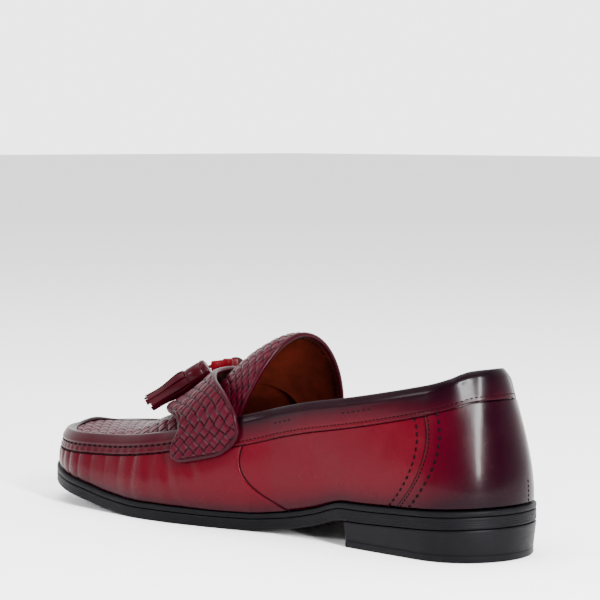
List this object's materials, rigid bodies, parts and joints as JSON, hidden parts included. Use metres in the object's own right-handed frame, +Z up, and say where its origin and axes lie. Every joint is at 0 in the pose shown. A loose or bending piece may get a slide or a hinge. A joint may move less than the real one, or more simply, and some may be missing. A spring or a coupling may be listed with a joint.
{
  "type": "tassel loafer",
  "caption": "Low leather slip-on shoe with a woven apron and tongue, a woven saddle strap, tassels, a welted sole and a stacked heel.",
  "frame": {"origin": "middle of the sole's outline, on the floor", "axes": "+Y from the toe to the heel along the sole, +Z up, +X to the medial side"},
  "size_m": [0.1008, 0.2996, 0.0939],
  "materials": {
    "sole_rubber": "black, semi-matt, fine lines along the edge",
    "welt_leather": "black dressed edge, satin",
    "lining_leather": "brown lining leather, matt",
    "upper_leather": "burgundy calf, burnished and glazed",
    "binding_leather": "dark burgundy calf, polished",
    "woven_leather": "red burgundy plaited strips, glossy",
    "tassel_leather": "burgundy calf, satin"
  },
  "bodies": {
    "root": {"outsole": "sole_rubber", "welt": "welt_leather", "heel": "sole_rubber", "insole": "lining_leather", "upper": "upper_leather", "collar_band": "binding_leather", "apron_rim": "binding_leather", "apron": "woven_leather", "tongue": "woven_leather", "saddle_strap": "woven_leather", "tassel_medial": "tassel_leather", "tassel_lateral": "tassel_leather", "tassel_lace": "tassel_leather"}
  },
  "joints": []
}
